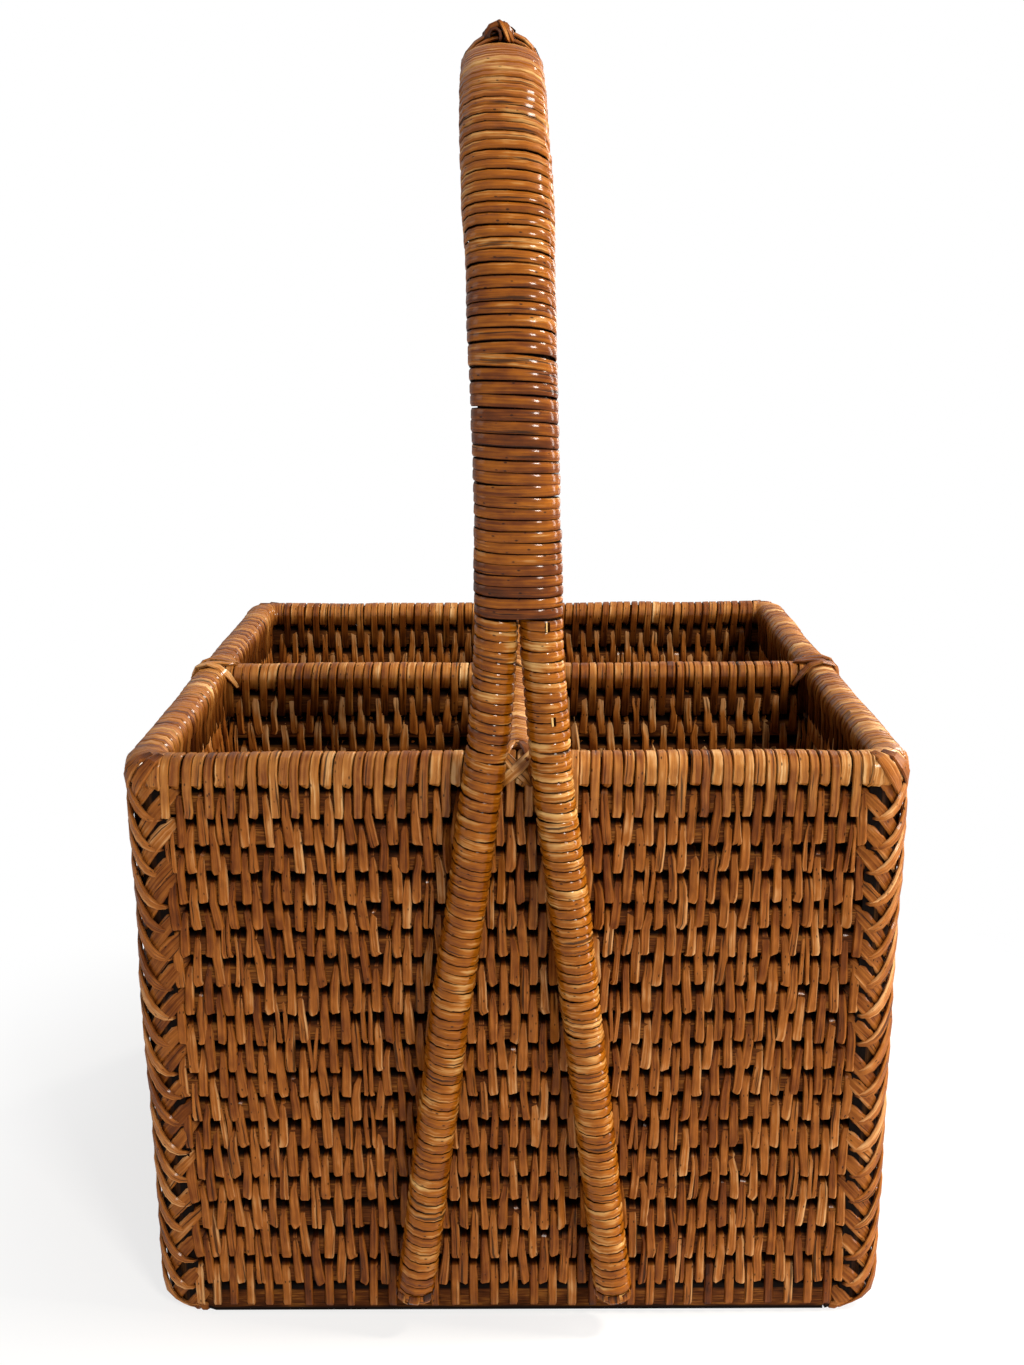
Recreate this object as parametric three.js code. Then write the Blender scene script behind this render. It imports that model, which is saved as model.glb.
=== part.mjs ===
// A woven rattan cutlery caddy: a square box with four compartments and a fixed arched handle.
// Millimetres, +Z up. The origin is on the table under the middle of the box, and -Y is the front.
import * as THREE from "three";

// Clearances
const seat = 0.3;
const bindingClearance = 0.5;

// Box: outside faces of the woven walls, and the courses of rods that they are stacked from
const boxWidth = 203;
const boxDepth = 200;
const courseCount = 20;
const courseHeight = 8.3;
const wallThickness = 8;

// Courses: how deep the cane draws in at their seams, the share of each that the cane holds flat, and the thickness of
// the rods from the foot up, before they are fitted to a wall's height
const grooveDepth = 2;
const flatShare = 0.6;
const rodHeights = [8.5, 9.4, 8.8, 7.8, 8.5, 8.7, 8, 7.3, 8.4, 8.1, 8.5, 8.5, 8.2, 6.9, 8.9, 7.3, 8.1, 8.9];

// Rim and foot rods: flats left by their binding, the flat that the box stands on, the inside bend
const rodFlat = 1.2;
const footFlat = 3;
const insideBend = 0.6;

// Floor
const floorLift = 1;
const floorThickness = 8;

// Corners: a stake in each, and the crossed cane that laces two walls to it
const stakeDiameter = 6.6;
const laceThickness = 1.6;
const laceRelief = 0.7;

// Handle: two poles bound into one grip, forking into two legs on the front and on the rear wall
const poleDiameter = 8.6;
const caneThickness = 0.9;
const turnRelief = 0.35;
const turnPitch = 6.4;
const footSpread = 55;
const footLift = 11;
const forkRise = 38;
const crownRise = 186.5;
const archRise = 105;
const forkShift = 0.7;
const crownLean = -3.6;

// Lashings over the rim, and the knot that ends the grip's binding
const lashingWidth = 6;
const lashingDrop = Math.PI / 9;
const knotRadius = 2.2;
const knotStrand = 0.8;
const knotAhead = 13;

// How finely round stretches are drawn
const bendSegments = 4;
const roundSides = 10;
const turnSides = 8;
const poleSteps = 64;
const boreSpacing = 10;
const knotSteps = 36;
const knotSides = 6;

// Places that follow from the sizes above
const boxHeight = courseCount * courseHeight;
const rimBase = boxHeight - courseHeight;
const rimAxis = boxHeight - courseHeight / 2;
const wallBase = courseHeight + seat;
const wallRise = rimBase - seat - wallBase;
const floorTop = floorLift + floorThickness;
const stakeRadius = stakeDiameter / 2;
const stakeOffset = stakeRadius;
const laceInside = stakeOffset * Math.SQRT2 + stakeRadius + seat;
const cornerRadius = laceInside + laceThickness;

const poleRadius = poleDiameter / 2;
const boreRadius = (poleRadius + bindingClearance) / Math.cos(Math.PI / turnSides);
const legRadius = boreRadius + caneThickness;
const legReach = boxDepth / 2 + seat + legRadius;
const gripOffset = (poleDiameter + seat) / 2;
const forkOffset = legRadius + seat / 2;
const forkHeight = boxHeight + forkRise;
const crownHeight = boxHeight + crownRise;
const crownAxis = crownHeight - legRadius;
const springHeight = crownAxis - archRise;
const legSplay = (footSpread / 2 - forkOffset) / (forkHeight - footLift);
const bendHeight = forkHeight + (forkOffset - gripOffset) / legSplay;
const legRun = springHeight - footLift;
const archRun = (Math.PI * (legReach + archRise)) / 2;
const handleRun = 2 * legRun + archRun;

const rodBevel = (wallThickness - rodFlat) / 2;
const rodCrown = (courseHeight - rodFlat) / 2;
const rodReach = Math.hypot((rodFlat / 2 + rodBevel * Math.SQRT1_2), (rodFlat / 2 + rodCrown * Math.SQRT1_2));
const lashingInside = Math.max(rodReach, courseHeight / 2, wallThickness / 2) + seat;
const lashingOutside = lashingInside + caneThickness;

// Finishes
const finish = (color, roughness) => new THREE.MeshStandardMaterial({ color, roughness, metalness: 0 });
const weaveFinish = finish("#9c5f30", 0.5);
const rodFinish = finish("#b27a45", 0.45);
const laceFinish = finish("#a9683a", 0.45);
const stakeFinish = finish("#8a5a38", 0.7);
const poleFinish = finish("#a8794a", 0.6);
const bindingFinish = finish("#a3622f", 0.35);

const caddy = new THREE.Group();

function addPiece(parent, name, geometry, material) {
  const piece = new THREE.Mesh(geometry, material.clone());
  piece.name = name;
  parent.add(piece);
  return piece;
}

// Gathers corners and triangles of a shape that no ready geometry has
class Facets {
  constructor() {
    this.positions = [];
    this.faces = [];
  }

  corner(point) {
    this.positions.push(point.x, point.y, point.z);
    return this.positions.length / 3 - 1;
  }

  quad(a, b, c, d) {
    this.faces.push(a, b, c, a, c, d);
  }

  triangle(a, b, c) {
    this.faces.push(a, b, c);
  }

  geometry() {
    const geometry = new THREE.BufferGeometry();
    geometry.setAttribute("position", new THREE.Float32BufferAttribute(this.positions, 3));
    geometry.setIndex(this.faces);
    geometry.computeVertexNormals();
    return geometry;
  }
}

// Woven panels

// Heights of the seams between stacked rods of these thicknesses, fitted to a rise
function courseSeams(rise, thicknesses) {
  const courses = Math.max(1, Math.round(rise / courseHeight));
  const stack = Array.from({ length: courses }, (_, course) => thicknesses[course % thicknesses.length]);
  const total = stack.reduce((sum, thickness) => sum + thickness, 0);
  const seams = [0];
  for (const thickness of stack) {
    seams.push(seams[seams.length - 1] + (thickness * rise) / total);
  }
  return seams;
}

// The edge of a panel of stacked rods: one flattened swelling for each course, on both faces
function coursedOutline(seams, thickness) {
  const crest = thickness / 2;
  const groove = crest - grooveDepth;
  const face = [new THREE.Vector2(groove, 0)];
  for (let course = 1; course < seams.length; course += 1) {
    const low = seams[course - 1];
    const high = seams[course];
    const shoulder = ((high - low) * (1 - flatShare)) / 2;
    face.push(new THREE.Vector2(crest, low + shoulder));
    face.push(new THREE.Vector2(crest, high - shoulder));
    face.push(new THREE.Vector2(groove, high));
  }
  const back = face.map(({ x, y }) => new THREE.Vector2(-x, y)).reverse();
  return new THREE.Shape([...face, ...back]);
}

function coursedPanel(rise, thickness, run, thicknesses = rodHeights) {
  const outline = coursedOutline(courseSeams(rise, thicknesses), thickness);
  return new THREE.ExtrudeGeometry(outline, { depth: run, bevelEnabled: false });
}

// Stands a panel up so that its run goes along X from startX, its courses climb from startZ
function standPanel(panel, startX, middleY, startZ) {
  panel.rotation.set(Math.PI / 2, 0, Math.PI / 2, "ZYX");
  panel.position.set(startX, middleY, startZ);
}

function addWalls() {
  const sides = [
    { name: "front_wall", turn: 0, run: boxWidth, reach: boxDepth / 2 },
    { name: "right_wall", turn: Math.PI / 2, run: boxDepth, reach: boxWidth / 2 },
    { name: "rear_wall", turn: Math.PI, run: boxWidth, reach: boxDepth / 2 },
    { name: "left_wall", turn: -Math.PI / 2, run: boxDepth, reach: boxWidth / 2 },
  ];
  for (const { name, turn, run, reach } of sides) {
    const side = new THREE.Group();
    side.rotation.z = turn;
    caddy.add(side);
    const length = run - 2 * (cornerRadius + seat);
    const wall = addPiece(side, name, coursedPanel(wallRise, wallThickness, length), weaveFinish);
    standPanel(wall, -length / 2, wallThickness / 2 - reach, wallBase);
  }
}

function addFloor() {
  const inset = 2 * (wallThickness + seat);
  const length = boxWidth - inset;
  const breadth = boxDepth - inset;
  const weave = coursedPanel(breadth, floorThickness, length, [courseHeight]);
  const floor = addPiece(caddy, "floor_panel", weave, weaveFinish);
  floor.rotation.y = Math.PI / 2;
  floor.position.set(-length / 2, -breadth / 2, floorLift + floorThickness / 2);
}

// Rods that close the box at the rim and at the foot
function roundedRectangle(path, width, depth, radius) {
  const x = width / 2 - radius;
  const y = depth / 2 - radius;
  path.absarc(x, y, radius, 0, Math.PI / 2);
  path.absarc(-x, y, radius, Math.PI / 2, Math.PI);
  path.absarc(-x, -y, radius, Math.PI, 1.5 * Math.PI);
  path.absarc(x, -y, radius, 1.5 * Math.PI, 2 * Math.PI);
  return path;
}

// One rod bent round the box, with a flat on its top and underside
function bentRod(flat) {
  const bevel = (wallThickness - flat) / 2;
  const outer = 2 * bevel;
  const inner = wallThickness + flat;
  const ring = roundedRectangle(new THREE.Shape(), boxWidth - outer, boxDepth - outer, cornerRadius - bevel);
  const hole = roundedRectangle(new THREE.Path(), boxWidth - inner, boxDepth - inner, insideBend + bevel);
  ring.holes.push(hole);
  return new THREE.ExtrudeGeometry(ring, {
    depth: rodFlat,
    bevelSize: bevel,
    bevelThickness: rodCrown,
    bevelSegments: 2,
    curveSegments: bendSegments,
  });
}

function addBentRods() {
  const foot = addPiece(caddy, "foot_rod", bentRod(footFlat), rodFinish);
  foot.position.z = rodCrown;
  const rim = addPiece(caddy, "rim_rod", bentRod(rodFlat), rodFinish);
  rim.position.z = rimBase + rodCrown;
}

// Dividers, each a woven panel with a rod along its top
function addDivider(parent, name, start, length) {
  const base = floorTop + seat;
  const rise = rimBase - seat - base;
  const panel = addPiece(parent, name, coursedPanel(rise, wallThickness, length), weaveFinish);
  standPanel(panel, start, 0, base);
}

function addDividerRod(parent, name, start, length) {
  const radius = wallThickness / 2;
  const geometry = new THREE.CylinderGeometry(radius, radius, length, roundSides);
  const rod = addPiece(parent, name, geometry, rodFinish);
  rod.rotation.z = Math.PI / 2;
  rod.position.set(start + length / 2, 0, rimAxis);
}

function addDividers() {
  const halfWall = wallThickness / 2;
  const rodEnd = lashingOutside + seat;
  const crossHalf = boxWidth / 2 - wallThickness - seat;
  const crossRodHalf = boxWidth / 2 - halfWall - rodEnd;
  addDivider(caddy, "cross_divider", -crossHalf, 2 * crossHalf);
  addDividerRod(caddy, "cross_divider_rod", -crossRodHalf, 2 * crossRodHalf);

  const lengthwise = new THREE.Group();
  lengthwise.rotation.z = Math.PI / 2;
  caddy.add(lengthwise);
  const inner = halfWall + seat;
  const outer = boxDepth / 2 - wallThickness - seat;
  const outerRod = boxDepth / 2 - halfWall - rodEnd;
  addDivider(lengthwise, "front_divider", -outer, outer - inner);
  addDividerRod(lengthwise, "front_divider_rod", -outerRod, outerRod - rodEnd);
  addDivider(lengthwise, "rear_divider", inner, outer - inner);
  addDividerRod(lengthwise, "rear_divider_rod", rodEnd, outerRod - rodEnd);
}

// Corners

// Crossed lacing as a quarter-round shell: its raised corners form one X on each course
function crossedLacing() {
  const facets = new Facets();
  const rows = 2 * Math.round(wallRise / courseHeight);
  const columns = 2;
  const outer = [];
  const inner = [];
  for (let row = 0; row <= rows; row += 1) {
    outer.push([]);
    inner.push([]);
    for (let column = 0; column <= columns; column += 1) {
      const angle = (column / columns) * (Math.PI / 2);
      const height = (row / rows) * wallRise;
      const sunk = ((row + column) % 2) * laceRelief;
      const at = (radius) => new THREE.Vector3(radius * Math.cos(angle), radius * Math.sin(angle), height);
      outer[row].push(facets.corner(at(cornerRadius - sunk)));
      inner[row].push(facets.corner(at(laceInside)));
    }
  }
  for (let row = 0; row < rows; row += 1) {
    for (let column = 0; column < columns; column += 1) {
      const a = outer[row][column];
      const b = outer[row][column + 1];
      const c = outer[row + 1][column + 1];
      const d = outer[row + 1][column];
      if ((row + column) % 2 === 0) {
        facets.quad(a, b, c, d);
      } else {
        facets.quad(b, c, d, a);
      }
      facets.quad(inner[row][column], inner[row + 1][column], inner[row + 1][column + 1], inner[row][column + 1]);
    }
    facets.quad(outer[row][0], outer[row + 1][0], inner[row + 1][0], inner[row][0]);
    facets.quad(inner[row][columns], inner[row + 1][columns], outer[row + 1][columns], outer[row][columns]);
  }
  for (let column = 0; column < columns; column += 1) {
    facets.quad(outer[0][column], inner[0][column], inner[0][column + 1], outer[0][column + 1]);
    facets.quad(outer[rows][column], outer[rows][column + 1], inner[rows][column + 1], inner[rows][column]);
  }
  return facets.geometry();
}

function addCorners() {
  const corners = [
    { name: "rear_right", x: 1, y: 1, turn: 0 },
    { name: "rear_left", x: -1, y: 1, turn: Math.PI / 2 },
    { name: "front_left", x: -1, y: -1, turn: Math.PI },
    { name: "front_right", x: 1, y: -1, turn: 1.5 * Math.PI },
  ];
  for (const { name, x, y, turn } of corners) {
    const corner = new THREE.Group();
    corner.position.set(x * (boxWidth / 2 - cornerRadius), y * (boxDepth / 2 - cornerRadius), wallBase);
    corner.rotation.z = turn;
    caddy.add(corner);
    const stakeShape = new THREE.CylinderGeometry(stakeRadius, stakeRadius, wallRise, roundSides);
    const stake = addPiece(corner, `${name}_stake`, stakeShape, stakeFinish);
    stake.rotation.x = Math.PI / 2;
    stake.position.set(stakeOffset, stakeOffset, wallRise / 2);
    addPiece(corner, `${name}_lacing`, crossedLacing(), laceFinish);
  }
}

// Lashings: a strap of cane over the rim wherever a divider meets it, and one where dividers cross
function addLashings() {
  const strap = new THREE.Shape();
  strap.absarc(0, 0, lashingOutside, -lashingDrop, Math.PI + lashingDrop);
  strap.absarc(0, 0, lashingInside, Math.PI + lashingDrop, -lashingDrop, true);
  const options = { depth: lashingWidth, bevelEnabled: false, curveSegments: roundSides / 2 };
  const alongX = boxWidth / 2 - wallThickness / 2;
  const alongY = boxDepth / 2 - wallThickness / 2;
  const places = [
    { name: "front_lashing", x: 0, y: -alongY, turn: 0 },
    { name: "rear_lashing", x: 0, y: alongY, turn: 0 },
    { name: "centre_lashing", x: 0, y: 0, turn: 0 },
    { name: "left_lashing", x: -alongX, y: 0, turn: Math.PI / 2 },
    { name: "right_lashing", x: alongX, y: 0, turn: Math.PI / 2 },
  ];
  for (const { name, x, y, turn } of places) {
    const place = new THREE.Group();
    place.position.set(x, y, rimAxis);
    place.rotation.z = turn;
    caddy.add(place);
    const lashing = addPiece(place, name, new THREE.ExtrudeGeometry(strap, options), laceFinish);
    standPanel(lashing, -lashingWidth / 2, 0, 0);
  }
}

// Handle

// How far the handle's middle lies off the centre plane at a height
function leanAt(height) {
  if (height < forkHeight) {
    return (forkShift * (height - footLift)) / (forkHeight - footLift);
  }
  return forkShift + ((crownLean - forkShift) * (height - forkHeight)) / (crownAxis - forkHeight);
}

// How far each pole's middle lies from the handle's middle at a height
function poleOffset(height) {
  return gripOffset + legSplay * Math.max(0, bendHeight - height);
}

// The middle of a pole (side -1 or 1) or of the grip (side 0), from the front foot over to the rear foot
class HandleLine extends THREE.Curve {
  constructor(side) {
    super();
    this.side = side;
  }

  getPoint(t, target = new THREE.Vector3()) {
    const fromFront = t * handleRun;
    const fromRear = handleRun - fromFront;
    const nearest = Math.min(fromFront, fromRear);
    let y = fromFront < fromRear ? -legReach : legReach;
    let z = footLift + nearest;
    if (nearest > legRun) {
      const angle = ((fromFront - legRun) / archRun) * Math.PI;
      y = -legReach * Math.cos(angle);
      z = springHeight + archRise * Math.sin(angle);
    }
    return target.set(this.side * poleOffset(z) + leanAt(z), y, z);
  }
}

function addPoles() {
  const section = new THREE.Shape();
  section.absarc(0, 0, poleRadius, 0, 2 * Math.PI);
  const sides = [
    { name: "left_pole", side: -1 },
    { name: "right_pole", side: 1 },
  ];
  for (const { name, side } of sides) {
    const geometry = new THREE.ExtrudeGeometry(section, {
      steps: poleSteps,
      extrudePath: new HandleLine(side),
      curveSegments: turnSides / 2,
    });
    addPiece(caddy, name, geometry, poleFinish);
  }
}

// A close winding of cane over an open bore: crest and groove rows climb one turn at a time.
// pointAt(share, index, radius) places a corner at a share of the length, numbered round the section.
function woundSleeve(sides, turns, boreRings, pointAt) {
  const facets = new Facets();
  const lastRow = 2 * turns;
  const lastSide = sides - 1;
  const rows = [];
  for (let row = 0; row <= lastRow; row += 1) {
    const radius = legRadius - (row % 2) * turnRelief;
    rows.push([]);
    for (let side = 0; side < sides; side += 1) {
      const share = (row / 2 + side / sides) / (turns + 1);
      rows[row].push(facets.corner(pointAt(share, side, radius)));
    }
  }
  const bore = [];
  for (let ring = 0; ring <= boreRings; ring += 1) {
    bore.push([]);
    for (let side = 0; side < sides; side += 1) {
      bore[ring].push(facets.corner(pointAt(ring / boreRings, side, boreRadius)));
    }
  }
  for (let row = 0; row < lastRow; row += 1) {
    for (let side = 0; side < lastSide; side += 1) {
      facets.quad(rows[row][side], rows[row][side + 1], rows[row + 1][side + 1], rows[row + 1][side]);
    }
    if (row + 3 <= lastRow) {
      facets.quad(rows[row][lastSide], rows[row + 2][0], rows[row + 3][0], rows[row + 1][lastSide]);
    }
  }
  for (let ring = 0; ring < boreRings; ring += 1) {
    for (let side = 0; side < sides; side += 1) {
      const next = (side + 1) % sides;
      facets.quad(bore[ring][side], bore[ring + 1][side], bore[ring + 1][next], bore[ring][next]);
    }
  }
  const start = bore[0];
  const end = bore[boreRings];
  for (let side = 0; side < lastSide; side += 1) {
    facets.quad(rows[0][side], start[side], start[side + 1], rows[0][side + 1]);
    facets.quad(rows[lastRow][side], rows[lastRow][side + 1], end[side + 1], end[side]);
  }
  facets.quad(rows[0][lastSide], start[lastSide], start[0], rows[2][0]);
  facets.triangle(start[0], rows[0][0], rows[1][0]);
  facets.triangle(start[0], rows[1][0], rows[2][0]);
  facets.quad(rows[lastRow - 2][lastSide], rows[lastRow][0], end[0], end[lastSide]);
  facets.triangle(end[lastSide], rows[lastRow][lastSide], rows[lastRow - 1][lastSide]);
  facets.triangle(end[lastSide], rows[lastRow - 1][lastSide], rows[lastRow - 2][lastSide]);
  return facets.geometry();
}

// The binding that holds both poles together, from fork to fork over the crown
function gripBinding() {
  const middle = new HandleLine(0);
  const startRun = forkHeight + seat / 2 - footLift;
  const length = handleRun - 2 * startRun;
  const turns = Math.round(length / turnPitch) - 1;
  const halfSides = turnSides / 2 + 1;
  const sideways = new THREE.Vector3(1, 0, 0);
  const pointAt = (share, index, radius) => {
    const t = (startRun + share * length) / handleRun;
    const centre = middle.getPoint(t);
    const inward = middle.getTangent(t).cross(sideways).normalize();
    const step = index % halfSides;
    const side = index < halfSides ? 1 : -1;
    const angle = (step / (halfSides - 1) - 0.5) * Math.PI;
    const across = side * (poleOffset(centre.z) + radius * Math.cos(angle));
    return centre.addScaledVector(sideways, across).addScaledVector(inward, side * radius * Math.sin(angle));
  };
  return woundSleeve(2 * halfSides, turns, Math.round(length / boreSpacing), pointAt);
}

// The binding of one leg, straight up from its foot
function legBinding(length) {
  const turns = Math.round(length / turnPitch) - 1;
  const pointAt = (share, index, radius) => {
    const angle = (index / turnSides) * 2 * Math.PI;
    return new THREE.Vector3(radius * Math.cos(angle), radius * Math.sin(angle), share * length);
  };
  return woundSleeve(turnSides, turns, 1, pointAt);
}

function addBindings() {
  addPiece(caddy, "grip_binding", gripBinding(), bindingFinish);
  const legs = [
    { name: "front_left_leg_binding", side: -1, y: -legReach },
    { name: "front_right_leg_binding", side: 1, y: -legReach },
    { name: "rear_left_leg_binding", side: -1, y: legReach },
    { name: "rear_right_leg_binding", side: 1, y: legReach },
  ];
  for (const { name, side, y } of legs) {
    const foot = side * poleOffset(footLift);
    const fork = side * poleOffset(forkHeight) + forkShift;
    const rise = forkHeight - footLift;
    const lean = Math.atan2(fork - foot, rise);
    const length = Math.hypot(fork - foot, rise) - seat - 2 * legRadius * Math.abs(Math.sin(lean));
    const leg = addPiece(caddy, name, legBinding(length), bindingFinish);
    leg.rotation.y = lean;
    leg.position.set(foot, y, footLift);
  }
}

// The knot on the crown, drawn down as a flat overhand knot a little in front of the top
function addKnot() {
  const fall = Math.asin(knotAhead / legReach);
  const slope = Math.atan((archRise / legReach) * Math.tan(fall));
  const height = springHeight + archRise * Math.cos(fall);
  const lift = legRadius + seat + knotRadius / 2 + knotStrand;
  const geometry = new THREE.TorusKnotGeometry(knotRadius, knotStrand, knotSteps, knotSides);
  const knot = addPiece(caddy, "crown_knot", geometry, bindingFinish);
  knot.rotation.x = slope;
  knot.position.set(leanAt(height), -knotAhead - lift * Math.sin(slope), height + lift * Math.cos(slope));
}

addFloor();
addBentRods();
addWalls();
addCorners();
addDividers();
addLashings();
addPoles();
addBindings();
addKnot();

export default caddy;
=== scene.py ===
import math
import random

import bmesh
import bpy
from mathutils import Matrix, Vector, noise


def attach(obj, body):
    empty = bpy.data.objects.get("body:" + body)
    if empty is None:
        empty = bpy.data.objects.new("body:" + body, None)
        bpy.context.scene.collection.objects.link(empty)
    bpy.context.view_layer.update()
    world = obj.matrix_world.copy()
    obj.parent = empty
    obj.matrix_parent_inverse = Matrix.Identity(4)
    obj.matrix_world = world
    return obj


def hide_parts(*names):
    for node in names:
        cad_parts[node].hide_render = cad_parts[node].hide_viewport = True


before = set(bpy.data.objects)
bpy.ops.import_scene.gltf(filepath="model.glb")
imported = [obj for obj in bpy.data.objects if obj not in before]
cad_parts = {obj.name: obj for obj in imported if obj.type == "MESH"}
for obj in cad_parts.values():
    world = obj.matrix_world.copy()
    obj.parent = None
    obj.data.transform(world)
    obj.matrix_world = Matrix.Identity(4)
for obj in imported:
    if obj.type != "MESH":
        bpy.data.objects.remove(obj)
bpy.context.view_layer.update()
hand = random.Random(11)
noise.seed_set(11)

# Box
box_width = 203
box_depth = 200
box_height = 166
wall_thickness = 8
corner_radius = 9.87
floor_top = 9
floor_courses = 22
divider_gap = 0.4
rod_x = box_width / 2 - wall_thickness / 2
rod_y = box_depth / 2 - wall_thickness / 2

# Corners anticlockwise: name, side in x and in y, turn, and the way that the outer lacing falls
corners = (
    ("front_right", 1, -1, 0, 1),
    ("rear_right", 1, 1, 90, -1),
    ("rear_left", -1, 1, 180, 1),
    ("front_left", -1, -1, 270, -1),
)

# Heights of the courses from the rim down, as they show on the front wall
course_heights = (
    8.7, 8.9, 8.1, 7.3, 8.9, 6.9, 8.2, 8.5, 8.5, 8.1,
    8.4, 7.3, 8.0, 8.7, 8.5, 7.8, 8.8, 9.4, 8.5, 7.9,
)
seams = [box_height]
for height in course_heights:
    seams.append(seams[-1] - height * box_height / sum(course_heights))
rim_middle = (seams[0] + seams[1]) / 2

# Cane
column_spacing = 2.79
stitch_width = 2.5
stitch_thickness = 1.15
lacing_thickness = stitch_thickness * 0.9
winding_thickness = 0.55
rod_radius = 3.3
rim_reach = 4.35
divider_reach = 3.75
# Inside the box the tops of the stitches are painted lighter and their lower ends darker, as painted light
# and shade from above, and the seams gape wider
inner_shade = 0.26

# The whole weave drifts slowly over centimetres and a little over millimetres
slow_drift = 0.5
slow_span = 28
quick_drift = 0.14
quick_span = 7
# The foot is rounded at the corners, and nothing dips into the table
foot_round = 6.5
foot_round_reach = 12
table_gap = 0.1

# Handle
pole_radius = 4.3
leg_reach = 106.2
foot_lift = 11
foot_spread = 27.5
foot_shift = 1.3
fork_height = 204
fork_shift = 0.7
fork_offset = 5.5
grip_offset = 4.45
crown_axis = 346.4
crown_lean = -3.6
arch_rise = 105
leg_pitch = 2.62

# Camera at the photograph's view, with its focal length in the photograph's pixels
picture_height = 1365
focal_pixels = 1467.8
sensor_width = 36
camera_spot = (-0.0005, -0.4593, 0.2799)
camera_heading = 0.1
camera_dip = 14.72
camera_roll = -0.26


def place_camera():
    lens = bpy.data.cameras.new("view")
    lens.sensor_width = sensor_width
    lens.lens = focal_pixels / picture_height * sensor_width
    lens.clip_start = 0.01
    camera = bpy.data.objects.new("view", lens)
    heading = Matrix.Rotation(math.radians(camera_heading), 4, "Z")
    dip = Matrix.Rotation(math.radians(90 - camera_dip), 4, "X")
    roll = Matrix.Rotation(math.radians(camera_roll), 4, "Z")
    camera.matrix_world = Matrix.Translation(camera_spot) @ (heading @ dip) @ roll
    bpy.context.scene.collection.objects.link(camera)
    bpy.context.scene.camera = camera


# Colours are written as sRGB hex values
def colour(code):
    channels = [int(code[start:start + 2], 16) / 255 for start in (1, 3, 5)]
    linear = [c / 12.92 if c <= 0.04045 else ((c + 0.055) / 1.055) ** 2.4 for c in channels]
    return (*linear, 1)


# Adds a node: plain settings, colour stops, then values or links for its inputs
def add_node(tree, kind, inputs=None, stops=(), **settings):
    node = tree.nodes.new("ShaderNode" + kind)
    for name, value in settings.items():
        setattr(node, name, value)
    for index, (position, code) in enumerate(stops):
        elements = node.color_ramp.elements
        element = elements[index] if index < 2 else elements.new(position)
        element.position = position
        element.color = colour(code)
    for name, value in (inputs or {}).items():
        if isinstance(value, bpy.types.NodeSocket):
            tree.links.new(value, node.inputs[name])
        else:
            node.inputs[name].default_value = value
    return node


def new_material(name):
    material = bpy.data.materials.new(name)
    material.use_nodes = True
    tree = material.node_tree
    return material, tree, tree.nodes["Principled BSDF"]


# A pattern stretched along the cane, whose grain holds millimetres along and across and a number of its own
def grain_pattern(tree, kind, stretch, inputs):
    grain = add_node(tree, "Attribute", attribute_name="grain").outputs["Vector"]
    stretched = add_node(tree, "Mapping", {"Vector": grain, "Scale": stretch}).outputs[0]
    return add_node(tree, kind, {"Vector": stretched, "Scale": 1.0, **inputs})


# Tone and painted shade of a strip, negative where light is painted, and the place across it from -1 to 1
def cane_parts(tree):
    cane = add_node(tree, "Attribute", attribute_name="cane").outputs["Vector"]
    return add_node(tree, "SeparateXYZ", {"Vector": cane}).outputs
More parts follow.
